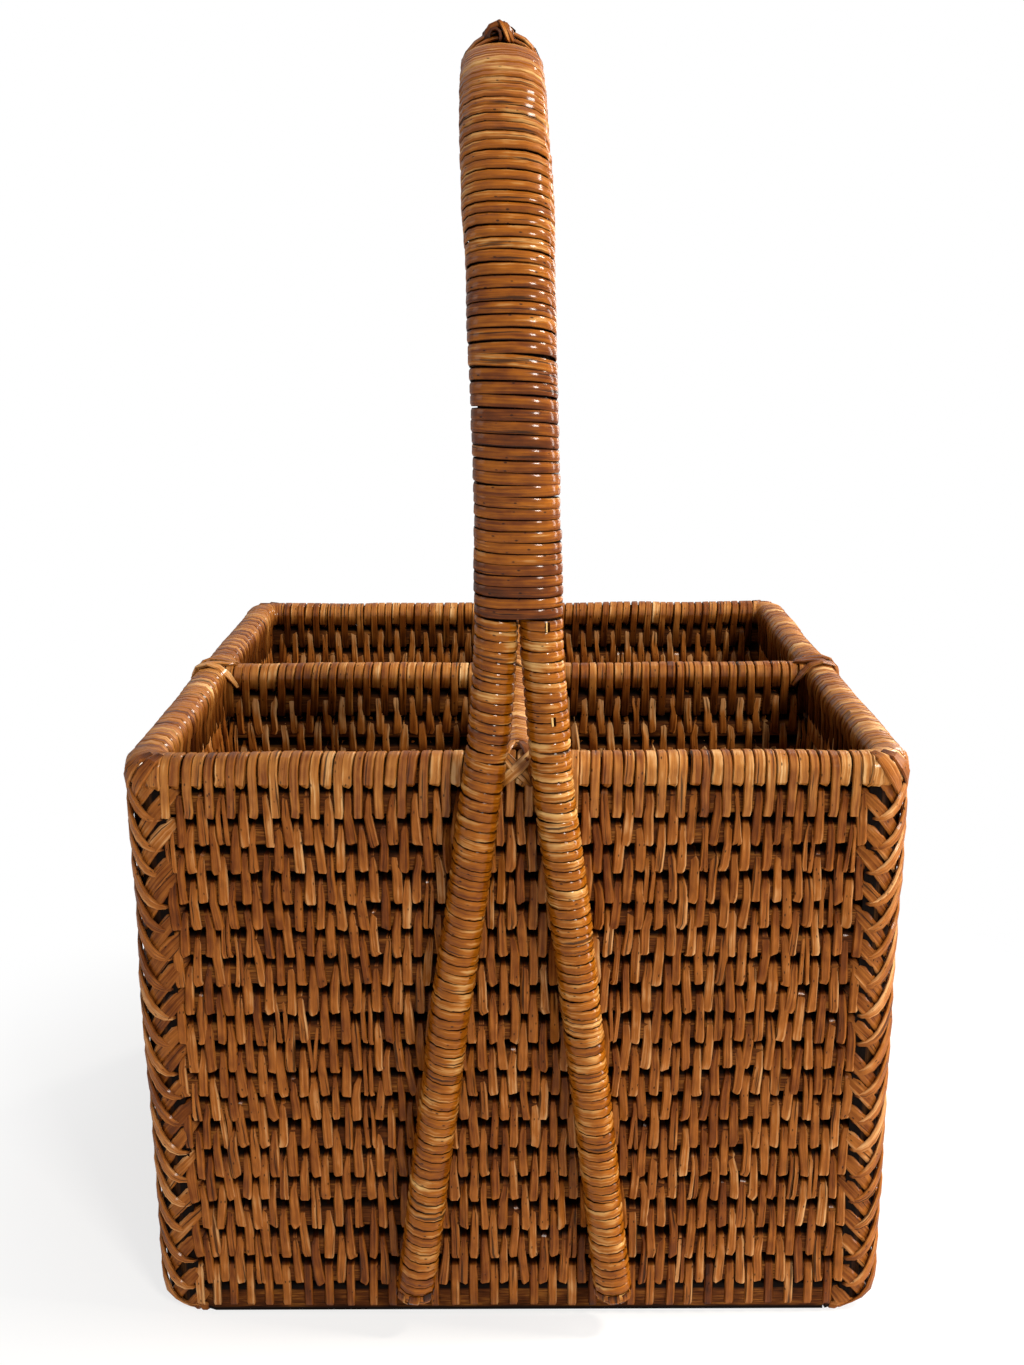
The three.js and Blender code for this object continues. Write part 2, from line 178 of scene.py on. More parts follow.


# Lacquered rattan peel: flat strips with long fibres, splits along the grain, dark specks and a satin coat.
# The deep colour is that of the splits and specks, and also of the painted shade
def peel_material(name, stops, deep, coat, roughness, patchy, edge_dirt_and_shade, rub_and_highlight, gloss=0.16, drawn=0.0):
    material, tree, shader = new_material(name)
    tone, painted_shade, side = cane_parts(tree)

    # Fibre bundles about 0.6 mm wide and 15 mm long, and single fibres drawn 0.2 mm wide so that they show
    bundles = grain_pattern(tree, "TexNoise", (0.065, 1.5, 31), {"Detail": 3.0}).outputs["Fac"]
    fibres = grain_pattern(tree, "TexNoise", (0.2, 5.0, 17), {"Detail": 2.0}).outputs["Fac"]
    # Stains about 6 mm long
    stains = grain_pattern(tree, "TexNoise", (0.16, 0.3, 7), {"Detail": 2.0}).outputs["Fac"]
    # Splits along the grain, a few centimetres long, and dark specks about half a millimetre across
    splits = grain_pattern(tree, "TexNoise", (0.05, 1.25, 43), {"Detail": 1.0}).outputs["Fac"]
    specks = grain_pattern(tree, "TexVoronoi", (0.3, 0.6, 13), {}).outputs["Distance"]
    # Patches of a centimetre or two that run over neighbouring strips
    place = add_node(tree, "TexCoord").outputs["Object"]
    patches = add_node(tree, "TexNoise", {"Vector": place, "Scale": 70.0, "Detail": 3.0}).outputs["Fac"]

    # The tone shifts with bundles, patches and stains, and painted shade lowers it where a strip tucks
    # under, while negative painted shade raises it as painted light
    toned = tone
    for pattern, spread in ((bundles, 0.8), (patches, 2 * patchy), (stains, 0.6)):
        shift = add_node(
            tree, "Math", {0: pattern, 1: spread, 2: -spread / 2}, operation="MULTIPLY_ADD").outputs[0]
        toned = add_node(tree, "Math", {0: toned, 1: shift}, operation="ADD").outputs[0]
    toned = add_node(tree, "Math", {0: painted_shade, 1: -0.5, 2: toned}, operation="MULTIPLY_ADD").outputs[0]
    # One shoulder of each strip is painted paler: partly wear from handling, partly a painted highlight of
    # light from that side
    rubbed_and_lit = add_node(
        tree, "MapRange",
        {"Value": side, "From Min": 0.4, "From Max": 0.72, "To Min": 0.0, "To Max": rub_and_highlight}).outputs[0]
    toned = add_node(tree, "Math", {0: toned, 1: rubbed_and_lit}, operation="ADD").outputs[0]
    ramp = add_node(tree, "ValToRGB", {"Fac": toned}, stops=stops).outputs["Color"]
    # Splits and specks show the dark inside of the cane
    marks = 0.0
    for pattern, dark, clear in ((splits, 0.28, 0.35), (specks, 0.08, 0.16)):
        mark = add_node(
            tree, "MapRange",
            {"Value": pattern, "From Min": dark, "From Max": clear, "To Min": 1.0, "To Max": 0.0}).outputs[0]
        marks = add_node(tree, "Math", {0: marks, 1: mark}, operation="MAXIMUM").outputs[0]
    marks = add_node(tree, "Math", {0: marks, 1: 0.8}, operation="MULTIPLY").outputs[0]
    marked = add_node(
        tree, "Mix", {"Factor": marks, "A": ramp, "B": colour(deep)}, data_type="RGBA").outputs["Result"]
    # Along the edges dirt and painted shade between strips darken it, and painted shade darkens it where a
    # strip goes under
    off_middle = add_node(tree, "Math", {0: side}, operation="ABSOLUTE").outputs[0]
    edge = add_node(
        tree, "MapRange",
        {"Value": off_middle, "From Min": 0.84, "From Max": 1.0, "To Min": 0.0, "To Max": edge_dirt_and_shade}).outputs[0]
    painted_shade_mix = add_node(tree, "Math", {0: painted_shade, 1: edge}, operation="MAXIMUM").outputs[0]
    painted_shade_mix = add_node(tree, "Math", {0: painted_shade_mix, 1: 0.92}, operation="MULTIPLY").outputs[0]
    shaded = add_node(
        tree, "Mix", {"Factor": painted_shade_mix, "A": marked, "B": colour(deep)}, data_type="RGBA").outputs["Result"]
    tree.links.new(shaded, shader.inputs["Base Color"])

    # The lacquer is worn duller in places
    worn = add_node(
        tree, "MapRange",
        {"Value": stains, "From Min": 0.3, "From Max": 0.7,
         "To Min": roughness - 0.1, "To Max": roughness + 0.14}).outputs[0]
    tree.links.new(worn, shader.inputs["Roughness"])
    # Bundles and fibres stand up, marks lie deeper
    ridges = add_node(tree, "Math", {0: fibres, 1: 0.35, 2: bundles}, operation="MULTIPLY_ADD").outputs[0]
    ridges = add_node(tree, "Math", {0: marks, 1: -0.6, 2: ridges}, operation="MULTIPLY_ADD").outputs[0]
    bump = add_node(tree, "Bump", {"Height": ridges, "Strength": 0.55, "Distance": 0.0004})
    tree.links.new(bump.outputs["Normal"], shader.inputs["Normal"])
    shader.inputs["IOR"].default_value = 1.5
    shader.inputs["Specular Tint"].default_value = colour("#e0a868")
    shader.inputs["Coat Roughness"].default_value = 0.12
    # Where shade is painted the gloss is taken away as well, and fibres break up the gloss where it is seen
    # at a grazing angle
    lacquered = add_node(
        tree, "Math", {0: 1.0, 1: painted_shade_mix}, operation="SUBTRACT", use_clamp=True).outputs[0]
    facing = add_node(tree, "LayerWeight", {"Blend": 0.5}).outputs["Facing"]
    upright = add_node(tree, "Math", {0: 1.0, 1: facing}, operation="SUBTRACT").outputs[0]
    bright = add_node(tree, "Math", {0: lacquered, 1: upright}, operation="MULTIPLY").outputs[0]
    for share, socket in ((gloss, "Specular IOR Level"), (coat, "Coat Weight")):
        shine = add_node(tree, "Math", {0: bright, 1: share}, operation="MULTIPLY").outputs[0]
        tree.links.new(shine, shader.inputs[socket])
    # Fibres that run round a pole draw its highlight out along the pole
    if drawn:
        around = add_node(tree, "Tangent", direction_type="RADIAL", axis="Z").outputs[0]
        tree.links.new(around, shader.inputs["Tangent"])
        shader.inputs["Anisotropic"].default_value = drawn
        shader.inputs["Anisotropic Rotation"].default_value = 0.25
    return material


# Rattan core: bare brown rods with fine fibres along them, dull
def core_material():
    material, tree, shader = new_material("rattan core")
    painted_shade_mix, off_crest = cane_parts(tree)[1:]
    # Fibres about 0.4 mm wide and 6 mm long, patches of a centimetre
    fibres = grain_pattern(tree, "TexNoise", (0.16, 2.4, 23), {"Detail": 3.0}).outputs["Fac"]
    patches = grain_pattern(tree, "TexNoise", (0.1, 0.2, 5), {"Detail": 2.0}).outputs["Fac"]
    mixed = add_node(tree, "Math", {0: fibres, 1: patches}, operation="MULTIPLY").outputs[0]
    ramp = add_node(
        tree, "ValToRGB", {"Fac": mixed},
        stops=((0.1, "#220e03"), (0.42, "#82501f"), (0.25, "#4f280d"))).outputs["Color"]
    # Painted shade darkens the rods where they meet, from about 2.5 mm off their crest on, and darkens the
    # rods that are given painted shade, such as stakes and poles
    off_crest = add_node(tree, "Math", {0: off_crest}, operation="ABSOLUTE").outputs[0]
    seam_shade = add_node(
        tree, "MapRange",
        {"Value": off_crest, "From Min": 0.5, "From Max": 0.68, "To Min": 0.0, "To Max": 1.0}).outputs[0]
    seam_shade = add_node(tree, "Math", {0: seam_shade, 1: painted_shade_mix}, operation="MAXIMUM").outputs[0]
    shade_painted = add_node(
        tree, "Mix", {"Factor": seam_shade, "A": ramp, "B": colour("#080200")}, data_type="RGBA").outputs["Result"]
    tree.links.new(shade_painted, shader.inputs["Base Color"])
    bump = add_node(tree, "Bump", {"Height": fibres, "Strength": 0.6, "Distance": 0.0005})
    tree.links.new(bump.outputs["Normal"], shader.inputs["Normal"])
    shader.inputs["Roughness"].default_value = 0.7
    shader.inputs["Specular IOR Level"].default_value = 0.06
    return material


wall_cane = peel_material(
    "lacquered rattan peel, woven",
    ((0.0, "#301207"), (1.0, "#cb9a66"), (0.3, "#66330f"), (0.62, "#955822")),
    deep="#0a0301", coat=0.16, roughness=0.42, patchy=0.12, edge_dirt_and_shade=0.5, rub_and_highlight=0.16)
rim_cane = peel_material(
    "lacquered rattan peel, rim",
    ((0.0, "#3a1807"), (1.0, "#e2bc86"), (0.3, "#723c12"), (0.62, "#a56b30")),
    deep="#0c0401", coat=0.34, roughness=0.38, patchy=0.14, edge_dirt_and_shade=0.85, rub_and_highlight=0.08)
handle_cane = peel_material(
    "lacquered rattan peel, handle",
    ((0.0, "#2a1002"), (1.0, "#d2ab6c"), (0.3, "#5a2904"), (0.62, "#8d4f0a")),
    deep="#0a0301", coat=0.4, roughness=0.36, patchy=0.22, edge_dirt_and_shade=1.0, rub_and_highlight=0.0, gloss=0.12, drawn=0.7)
rod_core = core_material()


# How far the weave drifts at a point, so that neighbouring pieces wander together
def wander(point):
    slow = noise.noise_vector(point / slow_span)
    quick = noise.noise_vector(point / quick_span + Vector((40, 0, 0)))
    drift = slow_drift * slow + quick_drift * quick
    drift.z *= min(1, max(0, point.z / 12))
    near_x = abs(point.x) - box_width / 2 + foot_round_reach
    near_y = abs(point.y) - box_depth / 2 + foot_round_reach
    near = min(near_x, near_y) / foot_round_reach
    if near > 0 and point.z < foot_round:
        below = foot_round - max(0, point.z)
        pull = (foot_round - math.sqrt(foot_round ** 2 - below ** 2)) * min(1, near)
        drift.x -= math.copysign(pull, point.x)
        drift.y -= math.copysign(pull, point.y)
    return drift


def new_weave():
    bm = bmesh.new()
    bm.verts.layers.float_vector.new("grain")
    bm.verts.layers.float_vector.new("cane")
    bm.faces.layers.int.new("owner")
    return bm


# Hangs a finished mesh on the frame
def finish_piece(name, bm, material, slot, *nodes, crisp=38):
    for vert in bm.verts:
        vert.co += wander(vert.co)
        vert.co.z = max(table_gap, vert.co.z)
        vert.co /= 1000
    bmesh.ops.recalc_face_normals(bm, faces=bm.faces)
    mesh = bpy.data.meshes.new(name)
    bm.to_mesh(mesh)
    bm.free()
    mesh.attributes.remove(mesh.attributes["owner"])
    mesh.shade_smooth()
    mesh.set_sharp_from_angle(angle=math.radians(crisp))
    mesh.materials.append(material)
    piece = bpy.data.objects.new(name, mesh)
    bpy.context.scene.collection.objects.link(piece)
    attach(piece, "root")
    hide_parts(*nodes)


# A strip through its stations, each a point, the way it faces, its width and its painted shade
# A frame holds the ways across, out of and along the strip, scaled to its width and thickness
def make_strip(stations, thickness, tone, place=Matrix()):
    frames = []
    points = [station[0] for station in stations]
    last = len(points) - 1
    for index, (point, faces, width, painted_shade) in enumerate(stations):
        along = (points[min(index + 1, last)] - points[max(index - 1, 0)]).normalized()
        across = faces.cross(along).normalized()
        out = along.cross(across)
        # The strip's six-sided section is 1.732 high where it is 2 wide
        scaled = Matrix((across * width / 2, out * thickness / 1.732, along))
        turned = scaled.transposed().to_4x4()
        turned.translation = point
        frames.append(place @ turned)
    return frames, [station[3] for station in stations], tone


# Tone of a strip: patches of a few centimetres, and each strip a little different
def strip_tone(point, spread=0.15, patchy=0.16):
    patch = patchy * noise.noise(point / 22 + Vector((0, 70, 0)))
    return min(1, max(0, 0.46 + patch + hand.gauss(0, spread)))


# Draws strips of cane with rolled edges, flat over a share of their width, all extruded together
def lay_strips(bm, strips, flat=0.72):
    grain = bm.verts.layers.float_vector["grain"]
    cane = bm.verts.layers.float_vector["cane"]
    owner = bm.faces.layers.int["owner"]
    ends = []
    flat_up = Matrix.Rotation(math.radians(30), 4, "Z")
    for index, (frames, painted_shades, tone) in enumerate(strips):
        section = bmesh.ops.create_circle(
            bm, cap_ends=True, segments=6, radius=1, matrix=frames[0] @ flat_up)["verts"]
        half = max(step.col[0].length for step in frames)
        own = hand.random()
        for corner, vert in enumerate(section):
            side = -math.sin(math.radians(60 * corner + 30))
            if abs(side) < 0.9:
                vert.co += frames[0].col[0].to_3d() * side * (2 * flat - 1)
                side *= 2 * flat
            vert[grain] = (own * 90, side * half, own)
            vert[cane] = (tone, painted_shades[0], side)
        end = section[0].link_faces[0]
        end[owner] = index
        ends.append(end)
    for station in range(1, len(strips[0][0])):
        ends = bmesh.ops.extrude_discrete_faces(bm, faces=ends)["faces"]
        for end in ends:
            frames, painted_shades, tone = strips[end[owner]]
            step = frames[station] @ frames[station - 1].inverted()
            travel = Vector(((frames[station].translation - frames[station - 1].translation).length, 0, 0))
            for vert in end.verts:
                vert.co = step @ vert.co
                vert[grain] += travel
                vert[cane] = (tone, painted_shades[station], vert[cane].z)
    bmesh.ops.holes_fill(bm, edges=[edge for edge in bm.edges if edge.is_boundary], sides=6)


# A piece whose strips are all laid in one go
def make_piece(name, strips, material, slot, *nodes, flat=0.72, crisp=38):
    weave = new_weave()
    lay_strips(weave, strips, flat)
    finish_piece(name, weave, material, slot, *nodes, crisp=crisp)


# Round rods of bare core
def make_rods(name, strips, slot, *nodes, flat=0.5):
    make_piece(name, strips, rod_core, slot, *nodes, flat=flat, crisp=80)


# A stitch from its tucked top to its heel
# Share of its length, depth from the rods' middle, width of a plain one and of a leaf-shaped one, painted
# shade: dark on the top in the shade of the heel above, negative on the heel as a painted highlight, dark
# where the heel goes under
stitch_stations = (
    (0.0, 0.5, 0.68, 0.48, 1.0),
    (0.07, 1.7, 0.72, 0.5, 1.0),
    (0.11, 2.8, 0.82, 0.58, 0.1),
    (0.2, 3.2, 0.95, 0.78, 0.04),
    (0.42, 3.5, 1.0, 0.99, -0.03),
    (0.82, 3.75, 1.05, 1.1, -0.1),
    (0.882, 3.7, 0.99, 1.02, -0.24),
    (0.908, 2.5, 0.74, 0.74, 0.6),
)


# One stitch over two courses, where facing is 1 on the outer face and -1 on the inner one
def stitch(place, u, high, low, facing, heel, skew, leaf, width, shade=0):
    lean = hand.gauss(0, 0.6)
    rise = hand.gauss(0, 0.16)
    twist = hand.gauss(0, 0.18)
    curve = hand.gauss(0, 0.35)
    high += hand.gauss(0, 0.18)
    low += hand.gauss(0, 0.22)
    stations = []
    for share, depth, plain, leafy, painted_shade in stitch_stations:
        bend = heel * max(0, (share - 0.55) / 0.45) ** 2
        aside = u + lean * (share - 0.5) + curve * math.sin(math.pi * share) + bend + hand.gauss(0, 0.1)
        deep = depth + (rise if 0.1 < share < 0.92 else 0)
        point = Vector((aside, -facing * deep, high + (low - high) * share))
        faces = Vector((0.2 * bend + twist, -facing, 0))
        wide = width * (plain + (leafy - plain) * leaf) * hand.gauss(1, 0.07)
        # Inside the box shade paints the top of a stitch lighter and its lower end darker, as light from
        # above
        stations.append((point, faces, wide, painted_shade + shade * (5 * share - 3.2)))
    tone = strip_tone(place @ stations[3][0], 0.08, 0.1) - 0.03
    frames, painted_shades, tone = make_strip(stations, stitch_thickness, tone, place)
    # The heel is bent over at a slant
    for heel_frame in frames[-3:]:
        heel_frame.col[0] += heel_frame.col[2] * skew
    return frames, painted_shades, tone


# All stitches of one face of a panel, where even columns start one course above odd ones
def stitched_face(place, columns, levels, facing, style, lean=None, bare=0, shade=0):
    strips = []
    # Some seams are drawn tighter than others, and inside the box they gape
    slack = [hand.uniform(-0.5, 0.2) + 7 * shade for _ in levels]
    for column, u in enumerate(columns):
        # A strip down the middle stays bare where another panel meets this one
        if abs(u) < bare:
            continue
        heel_bend, slant, leaf_share = style(u)
        start = 2 - column % 2
        for top in range(start, len(levels) - 2, 2):
            high = levels[top] - max(0, slack[top] / 2)
            low = levels[top + 2] + slack[top + 2]
            spot = Vector((u, facing * 30, high)) / 35
            width = stitch_width * (1.0 + 0.06 * noise.noise(spot)) + hand.gauss(0, 0.1)
            at = u + hand.gauss(0, 0.12)
            if lean:
                at += lean(u, (high + low) / 2)
            heel = heel_bend + hand.gauss(0, 0.35)
            skew = slant + hand.gauss(0, 0.3)
            leaf = min(1, max(0, leaf_share + hand.gauss(0, 0.2)))
            # A few stitches are laid as two narrow canes
            offsets = [0]
            if hand.random() < 0.08:
                gap = width * hand.uniform(0.22, 0.28)
                offsets = [-gap, gap]
                width *= 0.48
            for offset in offsets:
                strips.append(stitch(place, at + offset, high, low, facing, heel, skew, leaf, width, shade))
    return strips


# A style gives the heel bend, heel slant and leaf share of a column
# On the left leaf-shaped stitches swing right at the heel, on the right plain ones swing left
def front_style(u):
    right = min(1, max(0, (u + 15) / 40))
    return 0.5 - 1.0 * right, 0.4 - 0.8 * right, 1 - right


def plain_style(u):
    return 0.2, 0.15, 0.15


# Columns near the left corner lean outwards towards the foot
def column_lean(u, height):
    return -3.5 * math.exp(-((u + 64) / 22) ** 2) * (box_height - height) / box_height


def column_places(start, end):
    count = round((end - start) / column_spacing)
    spacing = (end - start) / count
    return [start + (index + 0.5) * spacing for index in range(count)]


# Straight rods of a panel, one for each course
def panel_rods(place, start, end, levels, first, last):
    strips = []
    steps = 14
    for course in range(first, last):
        middle = (levels[course] + levels[course + 1]) / 2
        tall = levels[course] - levels[course + 1] + hand.uniform(0.1, 0.5)
        # The top rod is thinner, because the wraps lie over it
        if course == 0:
            middle -= 0.8
            tall -= 2.0
        stations = []
        for step in range(steps + 1):
            point = Vector((start + (end - start) * step / steps, 0, middle))
            stations.append((point, Vector((0, -1, 0)), tall, 0))
        strips.append(make_strip(stations, 2 * rod_radius, hand.random(), place))
    return strips


# Cane over a rim or divider rod: a short wrap binds the rod alone, a long one also the course below it
def rim_wrap(place, u, reach, long, width, outside=None, indoors=False):
    proud = 0.35 if long else 0.0
    path = []
    for turn in (180, 152, 121, 90, 59, 28, 0):
        angle = math.radians(turn)
        flat = abs(math.cos(angle)) ** 0.75
        across = -(reach + proud) * math.copysign(flat, math.cos(angle))
        point = Vector((u, across, rim_middle + 3.75 * math.sin(angle)))
        path.append((point, Vector((0, -math.cos(angle), math.sin(angle)))))
    # The ends go down both faces: depth and height over the seam below
    if long:
        fall = seams[1] - seams[2]
        sides = [(4.05, 0.9 * fall), (4.0, 0.34 * fall), (3.7, 0.15 * fall), (2.0, 0.09 * fall)]
        base = seams[2]
    else:
        sides = [(reach, 3.1), (reach - 0.1, 1.6), (reach - 0.9, 1.0), (reach - 2.2, 1.1)]
        base = seams[1]
    for facing in (-1, 1):
        for depth, height in sides:
            point = Vector((u + hand.gauss(0, 0.08), -facing * depth, base + height))
            path.insert(0 if facing < 0 else len(path), (point, Vector((0, -facing, 0))))
    shift = hand.gauss(0, 0.15)
    slant = hand.gauss(-1.2 + u / 90, 0.4)
    # Inside the box the wrap is painted darker downwards as painted shade, and outside its end is painted
    # dark where it goes under
    shade_painted = [1.0, 0.75, 0.6, 0.4, 0.2]
    painted_shades = shade_painted + [0] * (len(path) - 10) + (shade_painted[::-1] if indoors else [0, 0, 0, 0, 1.0])
    # A wrap may grow wider towards the outside
    wider = (outside or width) - width
    last = len(path) - 1
    stations = []
    for index, (point, faces) in enumerate(path):
        point.x += shift + slant * (index / last - 0.5)
        stations.append((point, faces, width + wider * index / last, painted_shades[index]))
    tone = strip_tone(place @ stations[len(path) // 2][0], 0.09, 0.08)
    return make_strip(stations, stitch_thickness, tone - 0.03 if long else tone + 0.07, place)


# The cane along the top of a wall or divider: long and short wraps by turns
def bound_edge(bm, place, columns, reach, indoors=False):
    longs = []
    shorts = []
    for column, u in enumerate(columns):
        width = column_spacing * 1.08 + hand.gauss(0, 0.1)
        if column % 2 == 0:
            longs.append(rim_wrap(place, u, reach, True, stitch_width, indoors=indoors))
        else:
            shorts.append(rim_wrap(place, u, reach, False, width, indoors=indoors))
    lay_strips(bm, longs)
    lay_strips(bm, shorts)


# Cane under the foot rod: each even column loops from the course above, under the rod and up inside
def foot_loops(place, columns):
    strips = []
    high, low = seams[18], seams[20]
    for u in columns[::2]:
        loop = []
        for facing in (1, -1):
            side = []
            for share, depth, plain, leafy, painted_shade in stitch_stations[:6]:
                point = Vector((u, -facing * depth, high + (low + 0.4 - high) * share))
                side.append((point, Vector((0, -facing, 0)), stitch_width, painted_shade))
            point = Vector((u, -facing * 2.4, low + 1.2))
            side.append((point, Vector((0, -facing, -1)), stitch_width, 0.3))
            loop += side[::facing]
        shift = hand.gauss(0, 0.2) + column_lean(u, 8)
        for station in loop:
            station[0].x += shift
        strips.append(make_strip(loop, stitch_thickness, strip_tone(place @ loop[4][0]), place))
    return strips


# Each wall: name, place, half its run between the corners, places of its columns
def place_walls():
    walls = []
    for name, turn, run, reach in (
            ("front_wall", 0, box_width, box_depth / 2),
            ("right_wall", 90, box_depth, box_width / 2),
            ("rear_wall", 180, box_width, box_depth / 2),
            ("left_wall", 270, box_depth, box_width / 2)):
        outwards = Matrix.Translation((0, wall_thickness / 2 - reach, 0))
        place = Matrix.Rotation(math.radians(turn), 4, "Z") @ outwards
        half = run / 2 - corner_radius
        walls.append((name, place, half, column_places(-half, half)))
    return walls


walls = place_walls()


def corner_centre(sx, sy):
    return Vector((sx * (box_width / 2 - corner_radius), sy * (box_depth / 2 - corner_radius), 0))


def build_walls():
    for name, place, half, columns in walls:
        outer = stitched_face(place, columns, seams[:20], 1, front_style, column_lean)
        inner = stitched_face(place, columns, seams[:20], -1, plain_style, bare=3.4, shade=inner_shade)
        make_piece(name + "_stitches", outer + inner, wall_cane, "woven_cane", name)
        make_rods(name + "_rods", panel_rods(place, -half - 2, half + 2, seams, 1, 19), "woven_cane")


# A rod bent round the box, at the rim or at the foot
def ring_rod(middle, tall, thick, bend):
    stations = []
    for name, sx, sy, turn, falls in corners:
        for step in range(5):
            angle = math.radians(turn - 90 + step * 22.5)
            out = Vector((math.cos(angle), math.sin(angle), 0))
            point = Vector((sx * (rod_x - bend), sy * (rod_y - bend), middle)) + out * bend
            stations.append((point, out, 2 * tall, 0))
    stations.append(stations[0])
    return [make_strip(stations, 2 * thick, 0.5)]


def build_rim():
    rim = new_weave()
    for name, place, half, columns in walls:
        bound_edge(rim, place, columns, rim_reach)
    # Wraps fan out round the corners
    fan = []
    inwards = Matrix.Translation((0, wall_thickness / 2 - corner_radius, 0))
    for name, sx, sy, turn, falls in corners:
        for step in range(6):
            spread = Matrix.Rotation(math.radians(turn + 7.5 + step * 15), 4, "Z")
            place = Matrix.Translation(corner_centre(sx, sy)) @ spread @ inwards
            fan.append(rim_wrap(place, 0, rim_reach + 0.6, False, 1.4, 4.0))
    lay_strips(rim, fan)
    finish_piece("rim_wraps", rim, rim_cane, "bound_rod", "rim_rod")
    make_rods("rim_core", ring_rod(rim_middle - 0.8, 3.8, 3.5, corner_radius - 4), "bound_rod")


def build_foot():
    foot = new_weave()
    for name, place, half, columns in walls:
        lay_strips(foot, foot_loops(place, columns))
    finish_piece("foot_loops", foot, wall_cane, "bound_rod", "foot_rod")
    middle = (seams[19] + seams[20]) / 2 + 0.35
    make_rods("foot_core", ring_rod(middle, 4.5, 3.6, 11), "bound_rod", flat=0.85)


def build_dividers():
    levels = seams[:19] + [floor_top + divider_gap]
    inside_x = box_width / 2 - wall_thickness - divider_gap
    inside_y = box_depth / 2 - wall_thickness - divider_gap
    lengthwise = Matrix.Rotation(math.radians(90), 4, "Z")
    dividers = (
        ("cross_divider", Matrix(), -inside_x, inside_x, 3.8),
        ("front_divider", lengthwise, -inside_y, -wall_thickness / 2 - divider_gap, 0),
        ("rear_divider", lengthwise, wall_thickness / 2 + divider_gap, inside_y, 0),
    )
    for name, place, start, end, bare in dividers:
        columns = column_places(start, end)
        stitches = []
        for facing in (1, -1):
            stitches += stitched_face(
                place, columns, levels, facing, plain_style, bare=bare, shade=inner_shade)
        make_piece(name + "_stitches", stitches, wall_cane, "woven_cane", name)
        make_rods(name + "_rods", panel_rods(place, start, end, levels, 1, 19), "woven_cane")
        edge = new_weave()
        bound_edge(edge, place, columns, divider_reach, indoors=True)
        finish_piece(name + "_wraps", edge, rim_cane, "bound_rod", name + "_rod")
        make_rods(name + "_core", panel_rods(place, start, end, seams, 0, 1), "bound_rod")


def build_floor():
    breadth = box_depth - 2 * wall_thickness - 1
    half = (box_width - 2 * wall_thickness - 1) / 2
    levels = [breadth / 2 - breadth * (course - 1) / floor_courses for course in range(floor_courses + 2)]
    # Laid flat: courses run back to front, the stitched face looks up
    place = Matrix.Translation((0, 0, floor_top - 4)) @ Matrix.Rotation(math.radians(-90), 4, "X")
    columns = column_places(-half, half)
    upper = stitched_face(place, columns, levels, 1, plain_style, shade=inner_shade)
    lower = stitched_face(place, columns, levels, -1, plain_style)
    make_piece("floor_stitches", upper + lower, wall_cane, "woven_cane", "floor_panel")
    make_rods("floor_rods", panel_rods(place, -half, half, levels, 1, floor_courses + 1), "woven_cane")


# A point round a corner: s millimetres along the outside from the corner's middle, deep below its face
def round_corner(s, deep, height):
    half = corner_radius * math.pi / 4
    bent = max(-half, min(half, s))
    angle = math.radians(-45) + bent / corner_radius
    out = Vector((math.cos(angle), math.sin(angle), 0))
    point = out * (corner_radius - deep) + Vector((-out.y, out.x, 0)) * (s - bent)
    point.z = height
    return point, out


# A lacing strip from its pointed tip, flat along a seam, up round the corner
# Millimetres along from the corner's middle, height over the tip, width, sinking below the outer face,
# painted shade, dark at the ends where the strip goes under
lacing_stations = (
    (7.9, 0.1, 0.45, 1.2, 1.0),
    (6.6, 0.1, 1.1, 0.2, 0.1),
    (4.8, 0.4, 1.9, -0.3, 0.0),
    (3.0, 1.4, 2.7, -0.75, -0.1),
    (1.4, 3.0, 3.0, -1.05, 0.0),
    (-0.4, 5.4, 3.1, -1.2, 0.0),
    (-2.4, 8.4, 3.1, -1.25, 0.0),
    (-4.4, 11.5, 3.1, -1.25, 0.0),
    (-6.4, 14.2, 3.0, -0.9, 0.0),
    (-8.2, 16.2, 2.4, 0.1, 0.2),
    (-9.4, 16.9, 1.2, 1.4, 1.0),
)
# The under and the outer layer of the lacing
# Courses, start over the seam, breadth, reach round the corner, way it falls, extra sinking, least painted
# shade, which paints the under layer darker as it lies in shade
lacing_layers = (
    (range(-1, 21), -17.3, 1.3, 1.2, 1, 1.3, 0.12),
    (range(1, 20), 0.4, 1.08, 1.0, -1, 0, -1),
)
# A band from the top of the rim down over its corner to a point
# Millimetres along, height over the rim's middle, width, sinking, painted shade
corner_band = (
    (6.9, 3.9, 2.2, 3.4, 0.4),
    (5.6, 3.4, 3.4, 0.0, 0.0),
    (4.0, 0.8, 3.8, -1.75, 0.0),
    (2.4, -2.0, 3.7, -1.85, 0.0),
    (1.0, -4.6, 2.8, -1.3, 0.0),
    (-0.2, -6.8, 1.3, -0.6, 0.1),
    (-0.9, -7.8, 0.4, 0.8, 1.0),
)


